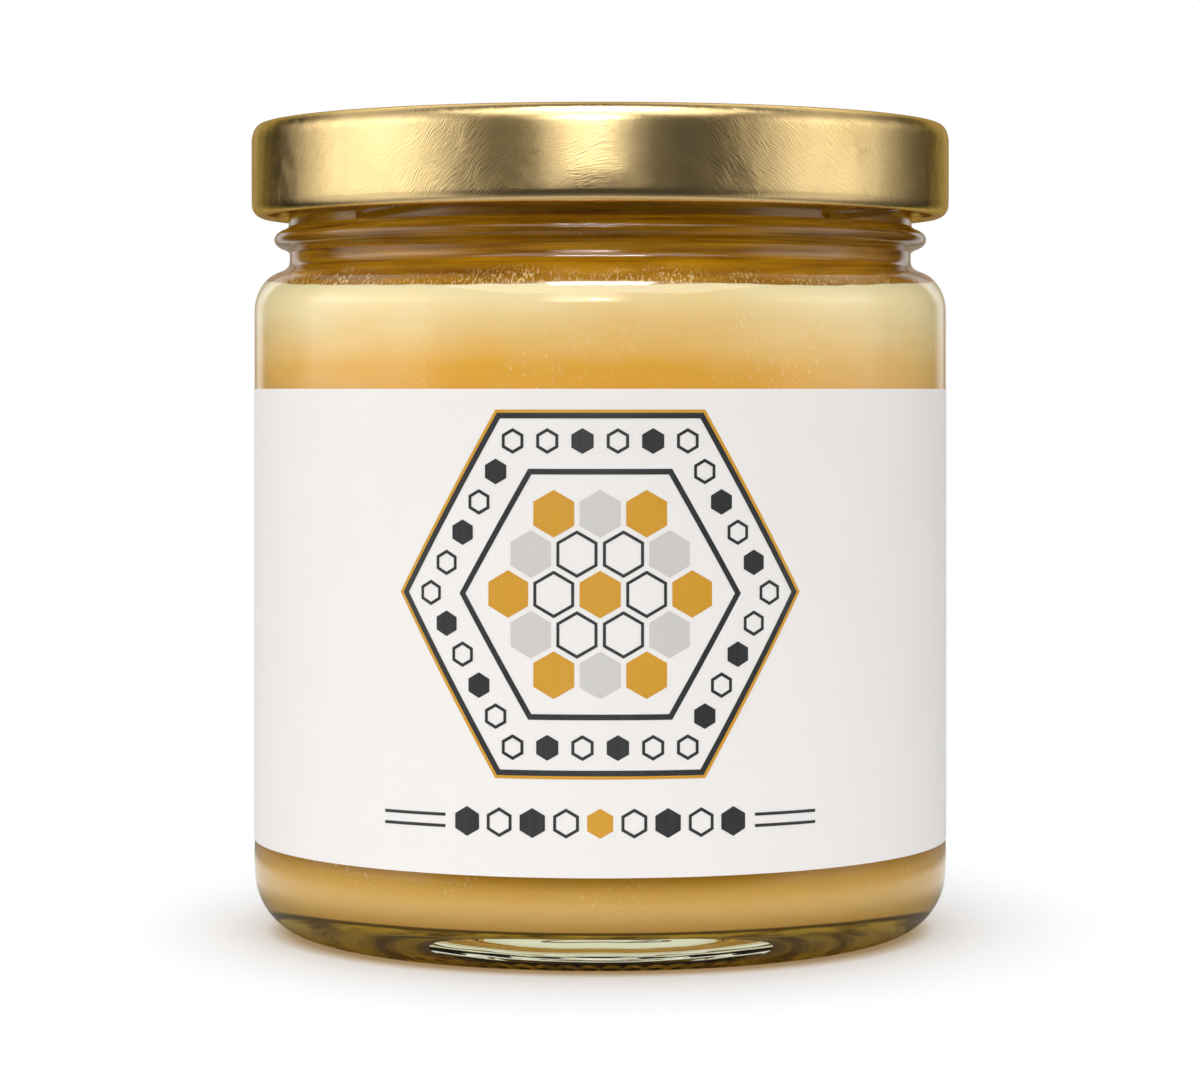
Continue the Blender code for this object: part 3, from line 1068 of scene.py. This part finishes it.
def comb_cells():
    """The places of the comb's cells, each with its ring and its number round that ring."""
    cells = [((0.0, 0.0), 0, 0)]
    for ring in range(1, COMB_RINGS + 1):
        for number, (place, _) in enumerate(along_sides(ring * CELL_PITCH, ring)):
            cells.append((place, ring, number))
    return cells


def draw_emblem(black, gold, grey):
    hexagon(gold, (0, 0), FRAME_RADIUS, FRAME_GOLD, flat_top=True)
    hexagon(black, (0, 0), FRAME_RADIUS - FRAME_GOLD * PER_SIDE, FRAME_BLACK, flat_top=True)
    hexagon(black, (0, 0), INNER_FRAME_RADIUS, INNER_FRAME_BLACK, flat_top=True)
    for centre, ring, number in comb_cells():
        if ring == 1:
            hexagon(black, centre, CELL_RADIUS, CELL_LINE)
        elif number % 2:
            hexagon(grey, centre, CELL_RADIUS)
        else:
            hexagon(gold, centre, CELL_RADIUS)
    for centre, step in along_sides(BORDER_RADIUS, BORDER_CELLS):
        hexagon(black, centre, BORDER_CELL, None if step % 2 else CELL_LINE)


def draw_divider(black, gold):
    drop = DIVIDER_HEIGHT - FRAME_HEIGHT
    middle_cell = DIVIDER_CELLS // 2
    for index in range(DIVIDER_CELLS):
        place = ((index - middle_cell) * DIVIDER_PITCH, drop)
        if index == middle_cell:
            hexagon(gold, place, DIVIDER_CELL)
        else:
            hexagon(black, place, DIVIDER_CELL, CELL_LINE if index % 2 else None)
    start = (middle_cell + RULE_CLEAR) * DIVIDER_PITCH
    length = DIVIDER_REACH - start
    for side in (-1, 1):
        for above in (-1, 1):
            centre = (side * (start + length / 2), drop + above * RULE_GAP / 2)
            bar(black, centre, length, RULE)


def make_print():
    black = bmesh.new()
    gold = bmesh.new()
    grey = bmesh.new()
    draw_emblem(black, gold, grey)
    draw_divider(black, gold)
    inks = (
        (black, "print_black", ink_black),
        (gold, "print_gold", ink_gold),
        (grey, "print_grey", ink_grey),
    )
    for shape, name, material in inks:
        rolled(shape, FRAME_HEIGHT)
        unroll(shape, LABEL_RADIUS)
        finished(shape, name, material)


make_print()

# %% [markdown]
# ## The gold lid
#
# The lid is thin tinplate with a clear gold lacquer, so it is a metal with a warm colour and a
# satin finish. Polishing left fine hairlines that slant down both ways from the front. They are a
# noise that is stretched along those slants, and they change both the roughness and the bump. They
# are faintest at the front, and stronger in some patches than in others.

# %% Lid material
LID_GOLD = colour(0.70, 0.52, 0.26)
LID_GOLD_DEEP = colour(0.65, 0.47, 0.21)
LID_EDGE_TINT = colour(0.80, 0.62, 0.25)
HAIRLINE_SLANT = 0.95
HAIRLINE_SOFT = 9.0
HAIRLINE_FINENESS = 6.4
HAIRLINE_WOBBLE = 0.7
HAIRLINE_FAINT_TO = 4.0
HAIRLINE_FULL_FROM = 16.0
HAIRLINE_FAINTEST = 0.3
SATIN = (0.21, 0.26)


def make_lid_gold():
    material, tree, shader = new_material("gold_lacquer")
    flat = add(tree, "ShaderNodeUVMap", uv_map="wrap").outputs[0]
    parts = add(tree, "ShaderNodeSeparateXYZ", {0: flat})
    around = parts.outputs["X"]
    up = parts.outputs["Y"]
    squared = maths(tree, "MULTIPLY_ADD", around, around, HAIRLINE_SOFT)
    slant = times(tree, maths(tree, "SQRT", squared), HAIRLINE_SLANT)
    wobble = uneven(
        tree, object_place(tree), 0.25, -HAIRLINE_WOBBLE, HAIRLINE_WOBBLE, detail=1.0
    )
    across = maths(tree, "ADD", maths(tree, "ADD", up, slant), wobble)
    fine = times(tree, across, HAIRLINE_FINENESS)
    path = add(tree, "ShaderNodeCombineXYZ", {0: around, 1: fine}).outputs[0]
    hairlines = uneven(tree, path, 1.0, 0.0, 1.0, detail=4.0)
    clouds = uneven(tree, object_place(tree), 0.08, 0.0, 1.0)
    feed(tree, shader, "Base Color", blend_colours(tree, clouds, LID_GOLD, LID_GOLD_DEEP))
    shader.inputs["Metallic"].default_value = 1.0
    shader.inputs["Specular Tint"].default_value = LID_EDGE_TINT
    feed(tree, shader, "Roughness", spread(tree, hairlines, 0.0, 1.0, *SATIN))
    from_front = maths(tree, "ABSOLUTE", around)
    near_front = (HAIRLINE_FAINT_TO, HAIRLINE_FULL_FROM, HAIRLINE_FAINTEST, 1.0)
    patches = uneven(tree, object_place(tree), 0.16, 0.55, 1.1)
    clear = times(tree, spread(tree, from_front, *near_front), patches)
    scratches = times(tree, hairlines, clear)
    feed(tree, shader, "Normal", bump(tree, scratches, 0.55, 0.024 * MM))
    return material


lid_material = make_lid_gold()
describe(lid_material)

# %% [markdown]
# The outline runs from the middle of the top panel out over the raised sealing ring, down the
# skirt, round the rolled edge and back up the inside. The four lugs are made like the threads: the
# rolled edge is pinched inwards at each quarter turn, which leaves a slight dent outside.

# %% Lid mesh
LID_SHEET = 0.3 * MM
LID_CORNER_INSET = 0.98 * MM
LID_CORNER_DROP = 1.83 * MM
LID_PANEL_RADIUS = 27.8 * MM
LID_PANEL_DEPTH = 0.8 * MM
LID_STEP_WIDTH = 1.8 * MM
LID_RIDGE_RADIUS = 20.0 * MM
LID_RIDGE_HALF = 0.9 * MM
LID_RIDGE_HEIGHT = 0.25 * MM
CURL_HALF_WIDTH = 1.02 * MM
CURL_HALF_HEIGHT = 1.3 * MM
CURL_HEIGHT = LID_BOTTOM + CURL_HALF_HEIGHT
CURL_INNER_TOP = 78.3 * MM
LUG_COUNT = 4
LUG_HALF_SWEEP = 9.0
LUG_REACH = 1.25 * MM
LUG_DENT = 0.12 * MM


def step_curve(start, end, steps):
    """A smooth step between two points: level at both ends."""
    points = []
    for step in range(steps + 1):
        share = step / steps
        rise = 0.5 - 0.5 * math.cos(math.pi * share)
        across = start[0] + (end[0] - start[0]) * share
        points.append((across, start[1] + (end[1] - start[1]) * rise))
    return points


def panel_outline(drop, inset):
    """The lid's top from the axis out to the raised ring, lowered for the underside."""
    floor = LID_TOP - LID_PANEL_DEPTH - drop
    first = LID_RIDGE_RADIUS - LID_RIDGE_HALF
    last = LID_RIDGE_RADIUS + LID_RIDGE_HALF
    crest = (LID_RIDGE_RADIUS, floor + LID_RIDGE_HEIGHT)
    start = LID_PANEL_RADIUS + inset
    outline = line((0.0, floor), (first, floor), 6)
    outline += step_curve((first, floor), crest, 5)[1:]
    outline += step_curve(crest, (last, floor), 5)[1:]
    outline += line((last, floor), (start, floor), 3)[1:]
    outline += step_curve((start, floor), (start + LID_STEP_WIDTH, LID_TOP - drop), 8)[1:]
    return outline


def pinch_lugs(shape):
    apart = 360 / LUG_COUNT
    for vert in shape.verts:
        if vert.co.z > CURL_INNER_TOP:
            continue
        nearest = (azimuth(vert.co) + apart / 2) % apart - apart / 2
        share = bell(nearest / LUG_HALF_SWEEP)
        low_share = bell((vert.co.z - LID_BOTTOM) / (CURL_INNER_TOP - LID_BOTTOM))
        inside = vert.co.xy.length < LID_RADIUS - CURL_HALF_WIDTH
        distance = LUG_REACH if inside else LUG_DENT
        push_out(vert, -distance * share * low_share)


def make_lid_shape():
    corner = (LID_RADIUS - LID_CORNER_INSET, LID_TOP - LID_CORNER_DROP)
    curl = (LID_RADIUS - CURL_HALF_WIDTH, CURL_HEIGHT)
    inner_radius = LID_RADIUS - LID_SHEET
    outline = panel_outline(0.0, 0.0)
    outline += line(outline[-1], (corner[0], LID_TOP), 4)[1:-1]
    outline += arc(corner, LID_CORNER_INSET, LID_CORNER_DROP, 90, 0, 14)
    outline += line((LID_RADIUS, corner[1]), (LID_RADIUS, CURL_HEIGHT), 10)[1:-1]
    outline += arc(curl, CURL_HALF_WIDTH, CURL_HALF_HEIGHT, 0, -240, 36)
    outline += [(inner_radius, CURL_INNER_TOP)]
    outline += arc(corner, LID_CORNER_INSET - LID_SHEET, LID_CORNER_DROP - LID_SHEET, 0, 90, 8)
    outline += panel_outline(LID_SHEET, LID_SHEET / 2)[::-1]
    shape = spun(outline)
    pinch_lugs(shape)
    return shape


lid_shape = make_lid_shape()
unroll(lid_shape, LID_RADIUS)
finished(lid_shape, "gold_lid", lid_material, "lid")

# %% [markdown]
# ## The studio
#
# A lid like this is a mirror that has been blurred, so most of its look is the room. Each column of
# the skirt mirrors one direction of the room, and the bright and dark bands on it say where the
# photographer's softboxes and black cards stood. The room is painted on the world by direction: a
# tall softbox on each side, a narrow one by the camera, black cards between them, and white behind.
# Over the jar hang a broad panel and a narrow strip lamp, and the box by the camera has a hot spot.
# Strip and spot are so bright only in mirror images, because small bright lamps make soft light noisy.
#
# The camera itself must see plain white, so camera rays get their own colour.

# %% Boxes and cards round the jar
# Each stop is a direction in degrees, 0 at the camera and growing to the right, and a brightness.
RING_STOPS = (
    (-180, 1.0),
    (-154, 1.0),
    (-146, 0.1),
    (-134, 0.0),
    (-118, 0.06),
    (-112, 0.45),
    (-108, 1.1),
    (-99, 1.4),
    (-66, 1.65),
    (-61, 1.5),
    (-53, 0.6),
    (-44, 0.2),
    (-32, 0.08),
    (-20, 0.08),
    (-15, 2.2),
    (-11, 3.6),
    (-3, 3.6),
    (5, 2.7),
    (8.5, 0.5),
    (12, 0.04),
    (47, 0.08),
    (56, 0.5),
    (63, 1.1),
    (70, 1.25),
    (97, 1.2),
    (107, 0.4),
    (118, 0.15),
    (129, 0.12),
    (136, 0.02),
    (145, 0.05),
    (154, 1.0),
)
print(len(RING_STOPS), "stops round the room")

# %% Levels of the room
EXPOSURE = 0.75
MIRROR_GAIN = 1.07
EDGE_DIM = colour(0.50, 0.42, 0.32)
EDGE_TURN = 161.0
EDGE_SOFT = 2.0
SIDE_FILL = 0.3
BACKDROP_TURN = 152.0
BACKDROP_SOFT = 3.0
FRONT_BOX_HALF_TURN = 24.0
FRONT_BOX_BOTTOM = 6.5
FRONT_BOX_SOFT = 1.0
FRONT_BOX_BELOW = 0.05
TABLE_EDGE = -6.0
TABLE_EDGE_SOFT = 0.5
TABLE_WHITE = 1.5
TABLE_CARD = 0.08
TABLE_CARD_HALF_TURN = 50.0
TABLE_CARD_SOFT = 4.0
HOT_HEIGHT = 12.0
HOT_SPREAD = 7.0
HOT_GAIN = 1.6
TOP_START = 20.0
TOP_FULL = 35.0
TOP_SHARE = 0.8
CEILING_START = 30.0
CEILING_FULL = 45.0
CEILING_FRONT = 0.2
CEILING_BACK = 1.9
CEILING_BACK_TO = -0.3
CEILING_FRONT_FROM = 0.1
WHITE = colour(1.0, 1.0, 1.0)
print(f"boxes brightest {HOT_HEIGHT} degrees up, ceiling from {CEILING_START} degrees")

# %% Lamps over the jar
PANEL_LIGHT = 3.6
PANEL_NEAR = 0.6
PANEL_FAR = 1.96
PANEL_HALF_WIDTH = 1.12
PANEL_SOFT = 0.05
STRIP_LIGHT = 34.0
STRIP_NEAR = 0.70
STRIP_FAR = 0.98
STRIP_HALF_WIDTH = 0.32
STRIP_SOFT = 0.02
SPOT_LIGHT = 40.0
SPOT_HALF_TURN = 3.5
SPOT_TURN_SOFT = 0.5
SPOT_HALF_HEIGHT = 1.2
SPOT_HEIGHT_SOFT = 0.3
SKYLINE = 0.001
print(f"panel {PANEL_LIGHT}, strip {STRIP_LIGHT} and spot {SPOT_LIGHT} times white")


# %% Masks for the room
def window(tree, value, first, last, soft):
    """1 between first and last, falling to 0 over a soft edge on both sides."""
    rising = fade(tree, value, first - soft, first + soft)
    falling = spread(tree, value, last - soft, last + soft, 1.0, 0.0)
    return times(tree, rising, falling)


def overlay(tree, below, mask, value):
    """Replaces below by value where the mask is 1."""
    kept = times(tree, below, maths(tree, "SUBTRACT", 1.0, mask))
    return maths(tree, "MULTIPLY_ADD", mask, value, kept)


def glint(tree, seen_in_gloss, light):
    """A lamp at full strength in mirror images, and no brighter than the panel for soft light."""
    return spread(tree, seen_in_gloss, 0.0, 1.0, PANEL_LIGHT, light)


def mirrored_outside(tree, path):
    """1 for a mirror image that doesn't come through glass."""
    not_through = maths(tree, "SUBTRACT", 1.0, path.outputs["Is Transmission Ray"])
    return times(tree, path.outputs["Is Glossy Ray"], not_through)


# %% Light round the jar
def neutral(value):
    return colour(value, value, value)


def ring(tree, turn):
    """The brightness of the boxes, cards and backdrop by direction."""
    brightest = max(value for _, value in RING_STOPS)
    ramp = add(tree, "ShaderNodeValToRGB", {0: fade(tree, turn, -180.0, 180.0)})
    stops = ramp.color_ramp.elements
    stops[1].position = 1.0
    stops[1].color = neutral(1.0 / brightest)
    for index, (degrees, value) in enumerate(RING_STOPS):
        place = (degrees + 180) / 360
        stop = stops[index] if index == 0 else stops.new(place)
        stop.position = place
        stop.color = neutral(value / brightest)
    return times(tree, ramp.outputs[0], brightest)


def hot_middle(tree, turn, height):
    """How much brighter the boxes are at the height of their lamps. The backdrop is even."""
    offset = maths(tree, "DIVIDE", maths(tree, "SUBTRACT", height, HOT_HEIGHT), HOT_SPREAD)
    falloff = times(tree, times(tree, offset, offset), -1.0)
    hot = times(tree, maths(tree, "EXPONENT", falloff), HOT_GAIN)
    not_backdrop = window(tree, turn, -BACKDROP_TURN, BACKDROP_TURN, BACKDROP_SOFT)
    return maths(tree, "MULTIPLY_ADD", hot, not_backdrop, 1.0)


def light_round_jar(tree, turn, height):
    """The ring above the table's edge, and the table below it."""
    around = ring(tree, turn)
    top = spread(tree, height, TOP_START, TOP_FULL, 1.0, TOP_SHARE)
    above = times(tree, times(tree, around, hot_middle(tree, turn, height)), top)
    in_front = window(tree, turn, -FRONT_BOX_HALF_TURN, FRONT_BOX_HALF_TURN, FRONT_BOX_SOFT)
    bottom = (FRONT_BOX_BOTTOM - FRONT_BOX_SOFT, FRONT_BOX_BOTTOM + FRONT_BOX_SOFT)
    too_low = spread(tree, height, *bottom, 1.0, 0.0)
    above = overlay(tree, above, times(tree, in_front, too_low), FRONT_BOX_BELOW)
    table = maths(tree, "MINIMUM", around, TABLE_WHITE)
    card = window(tree, turn, -TABLE_CARD_HALF_TURN, TABLE_CARD_HALF_TURN, TABLE_CARD_SOFT)
    table = overlay(tree, table, card, TABLE_CARD)
    edge = (TABLE_EDGE - TABLE_EDGE_SOFT, TABLE_EDGE + TABLE_EDGE_SOFT)
    return overlay(tree, above, spread(tree, height, *edge, 1.0, 0.0), table)


print("brightest stop:", max(value for _, value in RING_STOPS))


# %% Paint the room
def hang_lamps(tree, lit, parts, toward, seen_in_gloss):
    """Adds the panel and the strip, as level sheets one unit above the jar."""
    level = maths(tree, "MAXIMUM", parts["Z"], SKYLINE)
    across = maths(tree, "DIVIDE", parts["X"], level)
    away = maths(tree, "DIVIDE", toward, level)
    strip_light = glint(tree, seen_in_gloss, STRIP_LIGHT)
    for near, far, half_width, soft, light in (
        (PANEL_NEAR, PANEL_FAR, PANEL_HALF_WIDTH, PANEL_SOFT, PANEL_LIGHT),
        (STRIP_NEAR, STRIP_FAR, STRIP_HALF_WIDTH, STRIP_SOFT, strip_light),
    ):
        between_sides = window(tree, across, -half_width, half_width, soft)
        mask = times(tree, between_sides, window(tree, away, near, far, soft))
        lit = overlay(tree, lit, mask, light)
    return lit


def paint_world():
    world = bpy.data.worlds.new("studio")
    bpy.context.scene.world = world
    world.use_nodes = True
    tree = world.node_tree
    tree.nodes.clear()
    direction = add(tree, "ShaderNodeTexCoord").outputs["Generated"]
    parts = add(tree, "ShaderNodeSeparateXYZ", {0: direction}).outputs
    toward = times(tree, parts["Y"], -1.0)
    turn = maths(tree, "DEGREES", maths(tree, "ARCTAN2", parts["X"], toward))
    height = maths(tree, "DEGREES", maths(tree, "ARCSINE", parts["Z"]))
    path = add(tree, "ShaderNodeLightPath")
    seen_in_gloss = path.outputs["Is Glossy Ray"]

    depth = (CEILING_BACK_TO, CEILING_FRONT_FROM, CEILING_BACK, CEILING_FRONT)
    ceiling = spread(tree, toward, *depth)
    high_up = fade(tree, height, CEILING_START, CEILING_FULL)
    lit = overlay(tree, light_round_jar(tree, turn, height), high_up, ceiling)
    lit = hang_lamps(tree, lit, parts, toward, seen_in_gloss)
    spot_turn = window(tree, turn, -SPOT_HALF_TURN, SPOT_HALF_TURN, SPOT_TURN_SOFT)
    spot_ends = (HOT_HEIGHT - SPOT_HALF_HEIGHT, HOT_HEIGHT + SPOT_HALF_HEIGHT)
    spot = times(tree, spot_turn, window(tree, height, *spot_ends, SPOT_HEIGHT_SOFT))
    lit = overlay(tree, lit, spot, glint(tree, seen_in_gloss, SPOT_LIGHT))
    fill = times(tree, path.outputs["Is Diffuse Ray"], SIDE_FILL)
    lit = maths(tree, "MAXIMUM", lit, fill)

    gain = spread(tree, seen_in_gloss, 0.0, 1.0, EXPOSURE, EXPOSURE * MIRROR_GAIN)
    not_behind = window(tree, turn, -EDGE_TURN, EDGE_TURN, EDGE_SOFT)
    behind = maths(tree, "SUBTRACT", 1.0, not_behind)
    at_edge = times(tree, mirrored_outside(tree, path), behind)
    room_light = {
        "Color": blend_colours(tree, at_edge, WHITE, EDGE_DIM),
        "Strength": times(tree, lit, gain),
    }
    room = add(tree, "ShaderNodeBackground", room_light)
    backdrop = add(tree, "ShaderNodeBackground", {"Color": WHITE, "Strength": 1.0})
    mixed = add(tree, "ShaderNodeMixShader", {0: path.outputs["Is Camera Ray"]})
    tree.links.new(room.outputs[0], mixed.inputs[1])
    tree.links.new(backdrop.outputs[0], mixed.inputs[2])
    output = add(tree, "ShaderNodeOutputWorld")
    tree.links.new(mixed.outputs[0], output.inputs["Surface"])
    print(f"{world.name}: {len(tree.nodes)} nodes")


paint_world()
bpy.context.scene.view_settings.view_transform = "Standard"

# %% [markdown]
# The floor is a round pale sheet that glows a little to the camera, as if lit from below, with less
# glow close to the jar as a painted shade round it. It ends well outside the picture of the jar, so
# that the cards and softboxes seem to stand just behind its edge and reach below the horizon in the
# lid's mirror image. Its edge fades away, so no line shows against the backdrop.
#
# Under the jar it is warmer and darker, a painted contact shadow, and to light that reaches it
# through the glass it glows amber there, a painted glow of the honey's colour on the table. In
# mirror images all of it but a ring round the jar is dimmed, and it gives a little less soft light
# back than the camera sees.

# %% Floor
FLOOR_REACH = 0.13
FLOOR_FADE = 0.10
FLOOR_WHITE = colour(0.90, 0.915, 0.935)
# Less glow near the jar than far off: painted shade round the jar.
GLOW_NEAR = 0.08
GLOW_FAR = 0.25
GLOW_START = 0.045
GLOW_FULL = 0.085
# Painted contact shadow under the jar.
CONTACT_SHADOW = colour(0.46, 0.35, 0.20)
CONTACT_REACH = 0.0326
CONTACT_FADE = 0.0354
MIRROR_SHADE = 0.3
MIRROR_LIT_FROM = 0.048
MIRROR_LIT_TO = 0.078
MIRROR_LIT_SOFT = 0.006
BOUNCE = 0.72
# Painted amber glow under the jar, for rays that come through the glass.
SHADE_GLOW = colour(1.0, 0.66, 0.16)
SHADE_GLOW_STRENGTH = 0.45


def dimmed(tree, tone, share):
    """A colour times a share."""
    inputs = {0: tone, "Scale": share}
    return add(tree, "ShaderNodeVectorMath", inputs, operation="SCALE").outputs[0]


def make_floor_paper():
    material, tree, shader = new_material("floor_paper")
    place = add(tree, "ShaderNodeTexCoord").outputs["Object"]
    distance = add(tree, "ShaderNodeVectorMath", {0: place}, operation="LENGTH").outputs["Value"]
    path = add(tree, "ShaderNodeLightPath")
    # Painted contact shadow: the floor is warmer and darker under the jar.
    under = spread(tree, distance, CONTACT_REACH, CONTACT_FADE, 1.0, 0.0)
    lit = blend_colours(tree, under, FLOOR_WHITE, CONTACT_SHADOW)
    in_ring = window(tree, distance, MIRROR_LIT_FROM, MIRROR_LIT_TO, MIRROR_LIT_SOFT)
    in_mirror = dimmed(tree, lit, spread(tree, in_ring, 0.0, 1.0, MIRROR_SHADE, 1.0))
    lit = blend_colours(tree, path.outputs["Is Diffuse Ray"], lit, dimmed(tree, lit, BOUNCE))
    base = blend_colours(tree, mirrored_outside(tree, path), lit, in_mirror)
    feed(tree, shader, "Base Color", base)
    feed(tree, shader, "Roughness", uneven(tree, place, 20.0, 0.6, 0.7))
    shader.inputs["Specular IOR Level"].default_value = 0.1
    # Less glow close to the jar, a painted shade round it.
    glow = spread(tree, distance, GLOW_START, GLOW_FULL, GLOW_NEAR, GLOW_FAR)
    # Painted amber glow under the jar, seen by rays through the glass.
    amber = times(tree, under, path.outputs["Is Transmission Ray"])
    feed(tree, shader, "Emission Color", blend_colours(tree, amber, WHITE, SHADE_GLOW))
    amber_glow = times(tree, amber, SHADE_GLOW_STRENGTH)
    strength = maths(tree, "MULTIPLY_ADD", path.outputs["Is Camera Ray"], glow, amber_glow)
    feed(tree, shader, "Emission Strength", strength)
    feed(tree, shader, "Alpha", spread(tree, distance, FLOOR_FADE, FLOOR_REACH, 1.0, 0.0))
    describe(material)
    return material


def lay_floor():
    shape = bmesh.new()
    bmesh.ops.create_circle(shape, cap_ends=True, segments=96, radius=FLOOR_REACH)
    mesh = bpy.data.meshes.new("floor")
    shape.to_mesh(mesh)
    shape.free()
    mesh.materials.append(make_floor_paper())
    floor = bpy.data.objects.new("floor", mesh)
    bpy.context.scene.collection.objects.link(floor)
    print(f"floor radius {FLOOR_REACH} m, fading from {FLOOR_FADE} m")


lay_floor()
